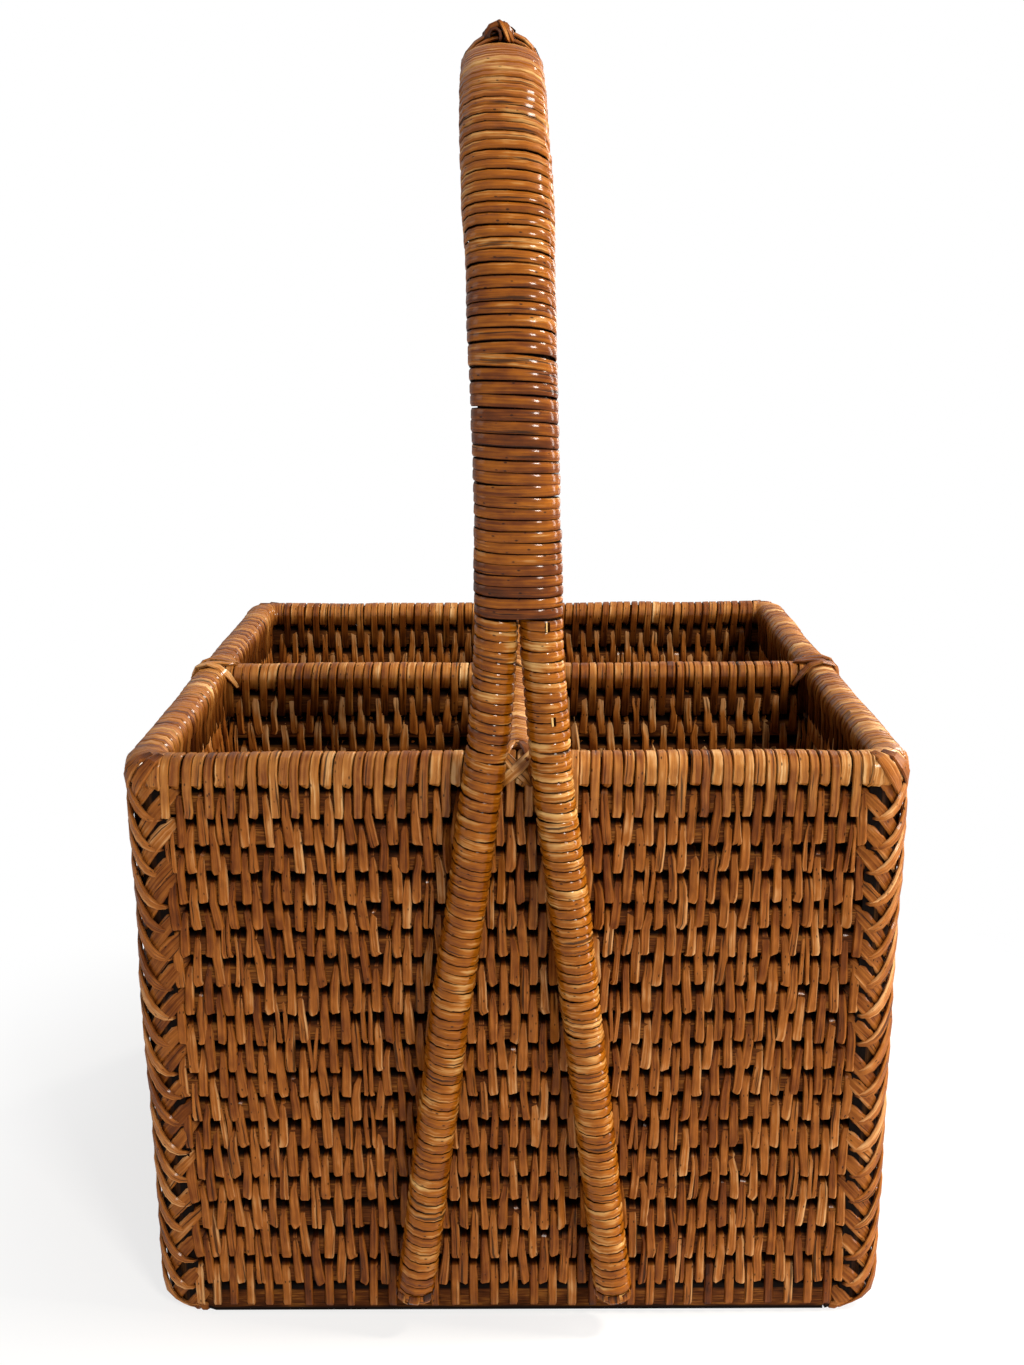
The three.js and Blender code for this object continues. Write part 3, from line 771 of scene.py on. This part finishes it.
# Crossed strips of a corner, one each way for each course
def lacing_strips(place, falls):
    strips = []
    for courses, start, breadth, reach, way, sinking, least in lacing_layers:
        for course in courses:
            low = seams[min(20, course + 1)] + start + hand.gauss(0, 0.2)
            if course == 20:
                low -= box_height / len(course_heights)
            wide = breadth * hand.gauss(1, 0.07)
            climb = hand.gauss(1, 0.04)
            shift = hand.gauss(0, 0.35)
            stations = []
            for along, rise, width, sink, painted_shade in lacing_stations:
                height = max(0.9, min(low + rise * climb, rim_middle))
                point, out = round_corner((along * reach + shift) * way * falls, sink + sinking, height)
                stations.append((point, out, width * wide, max(painted_shade, least)))
            tone = strip_tone(place @ stations[5][0], 0.09, 0.1) + 0.08
            strips.append(make_strip(stations, lacing_thickness, tone, place))
    # A thin cane lies under the crossings on the side face, painted dark as the shade behind them
    thin = [(*round_corner(4.1 * falls, 0.5, 4 + 14.8 * step), 3.0, 0.8) for step in range(11)]
    strips.append(make_strip(thin, 1.0, 0.4, place))
    return strips


# Two bands that cover the rim's corner over the lacing
def corner_bands(place, falls):
    bands = []
    for shift in (0.0, -4.2):
        stations = []
        for along, rise, width, sink, painted_shade in corner_band:
            point, out = round_corner((along + shift) * -falls, sink, rim_middle + rise)
            stations.append((point, out + Vector((0, 0, max(0, rise - 2))), width, painted_shade))
        tone = strip_tone(place @ stations[2][0], 0.09, 0.1)
        bands.append(make_strip(stations, lacing_thickness, tone, place))
    return bands


def build_lacing():
    for name, sx, sy, turn, falls in corners:
        centre = corner_centre(sx, sy)
        place = Matrix.Translation(centre) @ Matrix.Rotation(math.radians(turn), 4, "Z")
        weave = new_weave()
        lay_strips(weave, lacing_strips(place, falls))
        lay_strips(weave, corner_bands(place, falls))
        finish_piece(name + "_lacing_strips", weave, wall_cane, "lacing_cane", name + "_lacing")
        # The stake under the lacing, painted dark as the shade behind the lacing
        outwards = Vector((sx, sy, 0))
        stations = []
        for height in (3, 30, 60, 90, 120, seams[1]):
            point = centre + 4.45 * outwards + Vector((0, 0, height))
            stations.append((point, outwards.normalized(), 14.0, 0.85))
        stake = [make_strip(stations, 5.6, 0.5)]
        make_rods(name + "_post", stake, "rattan_core", name + "_stake", flat=0.6)


# Two strips that tie a divider's rod to the rim: one over the rim onto the divider's side, one onto its top
# Place across the divider, inwards and above the rim's middle, way the strip faces, width, painted shade
lashing_stations = (
    ((-4.2, -4.4, -3.4, 0, -1, 0, 2.4, 0.6), (-2.4, -5.4, -1.0, 0, -1, 0.1, 3.4, 0),
     (0.4, -5.6, 1.6, 0, -1, 0.5, 3.6, 0), (3.4, -3.6, 4.2, 0, -0.5, 1, 3.2, 0),
     (5.2, 0.2, 5.2, 0, 0, 1, 2.8, -0.1), (5.1, 3.4, 4.3, 0.4, 0.3, 1, 2.7, 0),
     (5.0, 6.2, 1.6, 1, 0.4, 0.7, 2.4, 0), (4.7, 9.0, -2.4, 1, 0, 0.2, 1.0, 0.3)),
    ((4.6, -4.3, -2.2, 0, -1, 0, 2.2, 0.7), (4.2, -5.4, 0.6, 0, -1, 0.3, 2.6, 0),
     (3.5, -4.2, 3.5, 0, -0.6, 1, 2.7, 0), (2.7, -0.6, 5.1, 0, 0, 1, 2.7, 0),
     (2.0, 2.8, 5.0, 0, 0, 1, 2.5, 0), (1.5, 5.4, 4.6, 0, 0, 1, 2.2, 0),
     (1.1, 7.6, 4.4, 0, 0, 1, 1.5, 0), (0.9, 9.0, 3.3, 0, 0.2, 1, 0.5, 0.6)),
)
# A strip over the crossing of the dividers: millimetres along, drop, painted shade
crossing_stations = (
    (-6.5, 3.6, 0.7), (-5, 1.3, 0), (-2.6, 0.2, 0), (0, 0, 0), (2.6, 0.2, 0), (5, 1.3, 0), (6.5, 3.6, 0.7),
)


# Lashings of the dividers to the rim
def build_rim_lashings():
    for name, x, y, turn in (
            ("front_lashing", 0, -rod_y, 0),
            ("rear_lashing", 0, rod_y, 180),
            ("left_lashing", -rod_x, 0, 270),
            ("right_lashing", rod_x, 0, 90)):
        place = Matrix.Translation((x, y, 0)) @ Matrix.Rotation(math.radians(turn), 4, "Z")
        strips = []
        for side in (-1, 1):
            # The second pair crosses over the first on the rim's outside
            over = 0.5 * max(0, side)
            for path in lashing_stations:
                stations = []
                for across, inwards, rise, aside, ahead, up, width, painted_shade in path:
                    point = Vector((side * across, inwards - over, rim_middle + rise))
                    stations.append((point, Vector((side * aside, ahead, up)), width, painted_shade))
                tone = strip_tone(place @ stations[4][0])
                strips.append(make_strip(stations, lacing_thickness, tone, place))
        make_piece(name + "_strips", strips, rim_cane, "lacing_cane", name)


# Two pairs of strips laid crosswise where the dividers meet
def build_centre_lashing():
    strips = []
    for layer, turn in ((0, 45), (1, -45)):
        place = Matrix.Rotation(math.radians(turn), 4, "Z")
        for offset in (-1.4, 1.4):
            stations = []
            for along, drop, painted_shade in crossing_stations:
                point = Vector((along, offset, rim_middle + 4.6 + 0.7 * layer - drop))
                stations.append((point, Vector((along * 0.08, 0, 1)), 2.6, painted_shade))
            tone = strip_tone(place @ stations[3][0])
            strips.append(make_strip(stations, lacing_thickness, tone, place))
    make_piece("centre_lashing_strips", strips, rim_cane, "lacing_cane", "centre_lashing")


# Lengths along the middle of the handle, from a front foot over the crown to a rear foot
spring_height = crown_axis - arch_rise
leg_run = spring_height - foot_lift
arch_run = math.pi * (leg_reach + arch_rise) / 2
handle_run = 2 * leg_run + arch_run


def handle_middle(run):
    back = handle_run - run
    nearest = min(run, back)
    y = -leg_reach if run < back else leg_reach
    z = foot_lift + nearest
    if nearest > leg_run:
        angle = (run - leg_run) / arch_run * math.pi
        y = -leg_reach * math.cos(angle)
        z = spring_height + arch_rise * math.sin(angle)
    # The crown is drawn flat under the knot
    crown = max(0, z - crown_axis + 16) / 16
    z -= 2.0 * crown * crown
    share = (z - fork_height) / (crown_axis - fork_height)
    bow = 0.65 * math.sin(math.pi * min(1, max(0, share)))
    return Vector((fork_shift + (crown_lean - fork_shift) * share + bow, y, z))


# Half the grip's width: wider at the fork, a waist above it, fuller towards the crown
def grip_half(height):
    fork = 0.5 * max(0, min(1, (226 - height) / 14))
    waist = 0.1 * math.exp(-((height - 234) / 11) ** 2)
    upper = 0.4 * max(0, min(1, (height - 284) / 16))
    return 10.3 + fork - waist + upper


# One turn of cane round the grip's two poles, broader than an ellipse, from the hollow side back to it
def grip_turn(run, pitch, width):
    stations = []
    tilt = hand.gauss(0, 0.17)
    swell = hand.gauss(0, 0.06)
    sideways = Vector((1, 0, 0))
    for index in range(19):
        angle = math.radians(90 - 20 * index)
        at = run + pitch * (index / 18 - 0.5) + tilt * math.cos(angle)
        middle = handle_middle(at)
        along = (handle_middle(at + 0.5) - handle_middle(at - 0.5)).normalized()
        inward = along.cross(sideways).normalized()
        # The ends go under and are painted darker there
        low = 0.3 if index in (0, 18) else 0
        crown = min(1, max(0, (middle.z - crown_axis + 16) / 12))
        square = 0.8 + 0.22 * crown
        across = math.copysign(abs(math.cos(angle)) ** square, math.cos(angle))
        deep = math.copysign(abs(math.sin(angle)) ** square, math.sin(angle))
        half = grip_half(middle.z) + swell
        thick = 6.15 + swell - 1.6 * crown
        point = middle + sideways * across * half + inward * deep * (thick - low)
        out = (sideways * across * thick + inward * deep * half).normalized()
        stations.append((point, out, width, low))
    # The turns stand rounder and paler towards the crown
    outermost = stations[9][0]
    upper = min(1, max(0, (outermost.z - 270) / 40))
    tone = strip_tone(outermost, 0.05, 0.06) - 0.02 + 0.15 * upper
    return make_strip(stations, winding_thickness + 0.5 * upper, tone)


# Legs: name, side in x, and -1 for the front or 1 for the rear
legs = (
    ("front_left", -1, -1),
    ("front_right", 1, -1),
    ("rear_left", -1, 1),
    ("rear_right", 1, 1),
)


def leg_ends(side, front):
    foot = Vector((side * foot_spread - foot_shift, front * leg_reach, foot_lift))
    fork = Vector((side * fork_offset + fork_shift, front * leg_reach, fork_height))
    return foot, fork


# A leg runs down from the fork and leans in a little below it
def leg_middle(foot, fork, share, side):
    point = foot.lerp(fork, share)
    point.x -= side * 17 * share ** 4 * (1 - share)
    return point


# One turn round a leg, starting and ending against the wall
def leg_turn(foot, fork, share, pitch, width, side, front):
    length = (fork - foot).length
    outward = Vector((0, front, 0))
    radius = 4.95 + 0.25 * share + hand.gauss(0, 0.05)
    stations = []
    tilt = hand.gauss(0, 0.15)
    for index in range(13):
        angle = math.radians(-90 + 30 * index)
        at = share + (pitch * (index / 12 - 0.5) + tilt * math.cos(angle)) / length
        above = leg_middle(foot, fork, at + 0.01, side)
        below = leg_middle(foot, fork, at - 0.01, side)
        sideways = (above - below).normalized().cross(outward).normalized()
        out = sideways * math.cos(angle) + outward * math.sin(angle)
        # The ends go under the next turn and are painted darker there
        low, painted_shade = (0.5, 0.6) if index in (0, 12) else (0, 0)
        point = leg_middle(foot, fork, at, side) + out * (radius - low)
        stations.append((point, out, width, painted_shade))
    return make_strip(stations, winding_thickness, strip_tone(stations[6][0], 0.04, 0.04) + 0.14)


# Where a new strand starts on a leg: the pale cut end of the old one, and beside it a strip painted dark as
# the shadow in the gap
def leg_splice(foot, fork, share, side, front):
    strips = []
    length = (fork - foot).length
    for turn, width, painted_shade in ((77, 0.6, -0.9), (70, 0.7, 1.0)):
        angle = math.radians(turn)
        out = Vector((math.cos(angle), front * math.sin(angle), 0))
        stations = []
        for step in (-1.15, 0, 1.15):
            point = leg_middle(foot, fork, share + step / length, side) + out * 5.35
            stations.append((point, out, width, painted_shade))
        strips.append(make_strip(stations, 0.4, 0.9))
    return strips


# A strip drawn over the end of a leg's pole: reach from its middle, height over its end, painted shade
cap_stations = (
    (-4.9, 2.5, 0.4), (-4.9, 0.6, 0), (-3.6, -0.7, 0), (0, -1.3, 0.2),
    (3.6, -0.7, 0), (4.9, 0.6, 0), (4.9, 2.5, 0.4),
)


# Strips that close the foot of a leg
def leg_cap(foot, fork):
    caps = []
    along = (fork - foot).normalized()
    for turn in (0, 45, 90, 135):
        out = Vector((math.cos(math.radians(turn)), math.sin(math.radians(turn)), 0))
        stations = []
        for reach, height, painted_shade in cap_stations:
            faces = out * reach / 5 - along * (1 if abs(reach) < 4 else 0.3)
            stations.append((foot + out * reach + along * height, faces, 3.2, painted_shade))
        caps.append(make_strip(stations, 0.8, strip_tone(foot)))
    return caps


def build_grip():
    start = fork_height - foot_lift + 0.5
    turns = []
    run = start
    while run < handle_run - start - 1:
        # The turns lie closer towards the fork
        pitch = 2.66 + 0.36 * max(0, min(1, (handle_middle(run).z - 222) / 38))
        middle = run + pitch / 2 + hand.gauss(0, 0.05)
        turns.append(grip_turn(middle, pitch, pitch * hand.gauss(0.96, 0.02)))
        run += pitch
    make_piece("grip_winding", turns, handle_cane, "handle_cane", "grip_binding", flat=0.58)


def build_legs():
    for name, side, front in legs:
        foot, fork = leg_ends(side, front)
        length = (fork - foot).length
        count = round(length / leg_pitch)
        pitch = length / count
        turns = []
        for index in range(count):
            width = pitch * hand.gauss(0.965, 0.02)
            turns.append(leg_turn(foot, fork, (index + 0.5) / count, pitch, width, side, front))
        leg = new_weave()
        lay_strips(leg, turns, flat=0.58)
        if name == "front_right":
            upper = leg_splice(foot, fork, 0.992, side, front)
            lower = leg_splice(foot, fork, 0.867, side, front)
            lay_strips(leg, upper + lower)
        lay_strips(leg, leg_cap(foot, fork))
        finish_piece(name + "_leg_winding", leg, handle_cane, "handle_cane", name + "_leg_binding")


# Poles: up a front leg, over the arch and down a rear leg
def build_poles():
    for name, side in (("left_pole", -1), ("right_pole", 1)):
        front_leg = [leg_middle(*leg_ends(side, -1), step / 10, side) for step in range(10)]
        rear_leg = [leg_middle(*leg_ends(side, 1), step / 10, side) for step in range(10)]
        arch = []
        start = fork_height - foot_lift + 4
        for step in range(25):
            middle = handle_middle(start + (handle_run - 2 * start) * step / 24)
            sag = 0.2 * max(0, (middle.z - crown_axis + 16) / 14)
            arch.append(middle + Vector((side * grip_offset, 0, -sag)))
        stations = []
        # The poles are painted dark, as the shade inside the winding
        for point in front_leg + arch + rear_leg[::-1]:
            stations.append((point, Vector((side, 0, 0)), 2 * pole_radius, 0.9))
        make_rods(name + "_core", [make_strip(stations, 2 * pole_radius, 0.5)], "rattan_core", name)


# Knot in front of the crown's top: the winding's ends come up over the shoulders, cross and leave a loop.
# The first two strips are painted black as the shade under and inside the knot
# Each strip: its path from the knot's foot, the way it faces, width, thickness, painted shade
knot_strips = (
    (((-9.6, 1.6, -4.6), (-8.4, 1.6, -2.2), (-6.2, 1.6, -0.1), (0, 1.6, 1.6),
      (6.4, 1.6, 0.2), (8.8, 1.6, -1.6), (10.0, 1.6, -4.4)), (0, -0.2, 1), 4.0, 2.8, 1.0),
    (((-4.0, 0.6, 2.6), (-3.0, 0.2, 2.8), (-1.6, 0, 3.0), (0, 0, 3.2),
      (1.6, 0, 3.0), (3.0, 0.2, 2.8), (3.9, 0.6, 2.4)), (0, -1, 0.2), 4.4, 1.0, 1.0),
    (((-10.3, 0.6, -5.8), (-9.9, 0.4, -3.8), (-8.8, 0.2, -1.5), (-6.9, 0, 0.6),
      (-3.6, 0, 2.6), (-1.6, 0.2, 3.2), (0.4, 0.4, 3.2)), (-0.5, -0.7, 1), 1.9, 0.8, 0.0),
    (((10.7, 0.6, -5.8), (10.3, 0.4, -3.5), (9.0, 0.2, -0.7), (6.9, 0, 1.4),
      (4.2, 0, 2.7), (2.0, 0.2, 3.2), (0, 0.4, 3.2)), (0.5, -0.7, 1), 1.9, 0.8, 0.0),
    (((-10.2, -2.0, -6.6), (-9.6, -2.2, -4.6), (-8.3, -2.4, -2.4), (-6.2, -2.4, -0.7),
      (-3.8, -2.4, 0.5), (-2.0, -2.0, 1.2), (-0.4, -1.4, 1.6)), (-0.4, -0.8, 1), 1.3, 0.7, 0.0),
    (((10.5, -2.0, -6.8), (10.0, -2.2, -4.6), (8.9, -2.4, -2.4), (7.0, -2.4, -0.7),
      (4.8, -2.4, 0.4), (3.0, -2.0, 1.0), (1.4, -1.4, 1.4)), (0.4, -0.8, 1), 1.3, 0.7, 0.0),
    (((-10.2, 3.0, -6.2), (-9.7, 3.4, -4.2), (-8.5, 3.7, -1.9), (-6.4, 3.8, 0.2),
      (-3.6, 3.6, 1.9), (-1.6, 3.2, 2.6), (0.4, 2.8, 2.8)), (-0.4, 0.8, 1), 2.4, 0.8, 0.0),
    (((10.6, 3.0, -6.2), (10.1, 3.4, -4.0), (8.8, 3.7, -1.5), (6.6, 3.8, 0.7),
      (3.8, 3.6, 2.1), (1.8, 3.2, 2.8), (0, 2.8, 3.0)), (0.4, 0.8, 1), 2.4, 0.8, 0.0),
    (((-3.9, 1.3, 1.0), (-3.6, 1.6, 2.6), (-2.4, 1.7, 3.9), (-0.4, 1.7, 4.4),
      (1.6, 1.7, 4.0), (3.0, 1.6, 2.7), (3.7, 1.3, 1.2)), (0, 1, 0.4), 3.4, 0.8, 0.1),
    (((-3.6, -0.6, 0.9), (-3.5, -0.9, 2.8), (-2.5, -1.0, 4.5), (-0.5, -1.0, 5.4),
      (1.5, -1.0, 4.8), (2.9, -0.9, 3.2), (3.5, -0.6, 1.3)), (0, -1, 0.5), 2.3, 0.8, 0.0),
    (((-2.9, -1.8, 0.9), (-3.1, -2.0, 2.3), (-2.4, -2.1, 3.6), (-1.1, -2.1, 3.9),
      (0.0, -2.0, 3.1), (0.3, -1.9, 1.8), (0.0, -1.6, 0.6)), (0, -1, 0.4), 1.1, 0.7, -0.1),
    (((-0.4, -1.0, 6.1), (0.3, -1.9, 5.4), (0.9, -2.4, 4.3), (1.5, -2.7, 3.1),
      (2.0, -2.8, 1.9), (2.4, -2.8, 0.9), (2.8, -2.6, 0.1)), (0.4, -1, 0.5), 1.2, 0.7, -0.1),
    (((0.9, -0.8, 5.7), (1.5, -1.6, 5.0), (2.1, -2.1, 3.9), (2.7, -2.4, 2.8),
      (3.2, -2.5, 1.7), (3.6, -2.5, 0.8), (4.0, -2.4, 0.1)), (0.4, -1, 0.5), 1.2, 0.7, -0.1),
)

def build_knot():
    foot = Vector((crown_lean - 0.1, -14, crown_axis + 2.2))
    strips = []
    for path, faces, width, thickness, painted_shade in knot_strips:
        stations = []
        for spot, share in zip(path, (0.8, 1.0, 1.0, 1.0, 1.0, 0.95, 0.8)):
            # The ends are narrow, go under and are painted at least half dark there
            under = max(0.5, painted_shade) if share == 0.8 else painted_shade
            stations.append((foot + Vector(spot), Vector(faces), width * share, under))
        strips.append(make_strip(stations, thickness, strip_tone(foot, 0.1, 0.1)))
    make_piece("crown_knot_strips", strips, handle_cane, "handle_cane", "crown_knot")


# Rays that see the white background: from the camera, through glass and off gloss
def background_rays(tree):
    rays = add_node(tree, "LightPath").outputs
    seen = rays["Is Camera Ray"]
    for kind in ("Is Transmission Ray", "Is Glossy Ray"):
        seen = add_node(tree, "Math", {0: seen, 1: rays[kind]}, operation="MAXIMUM").outputs[0]
    return seen


# White paper: matt, and away from the object it fades into the white background
def paper_material():
    material, tree, shader = new_material("white paper floor")
    shader.inputs["Base Color"].default_value = colour("#ffffff")
    shader.inputs["Roughness"].default_value = 0.9
    shader.inputs["Specular IOR Level"].default_value = 0.0
    place = add_node(tree, "TexCoord").outputs["Object"]
    away = add_node(tree, "VectorMath", {0: place}, operation="LENGTH").outputs["Value"]
    fade = add_node(
        tree, "MapRange", {"Value": away, "From Min": 0.1, "From Max": 0.26, "To Min": 0.72, "To Max": 1.0},
        interpolation_type="SMOOTHSTEP").outputs[0]
    faded = add_node(tree, "Math", {0: fade, 1: background_rays(tree)}, operation="MULTIPLY").outputs[0]
    white = add_node(tree, "Emission", {"Color": colour("#ffffff"), "Strength": 1.0}).outputs[0]
    mixed = add_node(tree, "MixShader", {0: faded, 1: shader.outputs[0], 2: white}).outputs[0]
    tree.links.new(mixed, tree.nodes["Material Output"].inputs["Surface"])
    return material


def build_floor_sheet():
    bm = bmesh.new()
    bmesh.ops.create_grid(bm, x_segments=1, y_segments=1, size=6)
    mesh = bpy.data.meshes.new("floor")
    bm.to_mesh(mesh)
    bm.free()
    mesh.materials.append(paper_material())
    floor = bpy.data.objects.new("floor", mesh)
    floor.location.z = -0.0002
    bpy.context.scene.collection.objects.link(floor)


def light_studio():
    world = bpy.data.worlds.new("studio")
    bpy.context.scene.world = world
    world.use_nodes = True
    tree = world.node_tree
    tree.nodes.clear()
    soft = add_node(tree, "Background", {"Color": colour("#fffaf4"), "Strength": 0.17}).outputs[0]
    white = add_node(tree, "Background", {"Color": colour("#ffffff"), "Strength": 1.0}).outputs[0]
    mixed = add_node(tree, "MixShader", {0: background_rays(tree), 1: soft, 2: white}).outputs[0]
    add_node(tree, "OutputWorld", {"Surface": mixed})

    # Lamps: name, place in metres, width, height, watts, tint
    lamps = (
        ("key", (1.0, -0.13, 1.42), 0.3, 0.3, 27.0, "#fff4e6"),
        ("front", (0.72, -1.24, 0.95), 0.3, 0.3, 17.0, "#fffaf2"),
        ("left", (-0.9, -0.3, 0.6), 0.5, 0.5, 1.5, "#fffaf2"),
        ("right", (0.95, -0.06, 0.3), 0.16, 0.8, 9.0, "#fffaf2"),
        ("rear", (0.6, 0.8, 0.45), 0.12, 0.7, 7.0, "#fff8ee"),
    )
    for name, spot, wide, tall, power, tint in lamps:
        lamp = bpy.data.lights.new(name, "AREA")
        lamp.shape = "RECTANGLE"
        lamp.size = wide
        lamp.size_y = tall
        lamp.energy = power
        lamp.color = colour(tint)[:3]
        holder = bpy.data.objects.new(name, lamp)
        aim = Vector((0, 0, 0.15)) - Vector(spot)
        holder.matrix_world = Matrix.Translation(spot) @ aim.to_track_quat("-Z", "Y").to_matrix().to_4x4()
        bpy.context.scene.collection.objects.link(holder)


place_camera()
build_walls()
build_rim()
build_foot()
build_dividers()
build_floor()
build_lacing()
build_rim_lashings()
build_centre_lashing()
build_grip()
build_legs()
build_poles()
build_knot()
build_floor_sheet()
light_studio()

bpy.context.scene.view_settings.view_transform = "Standard"
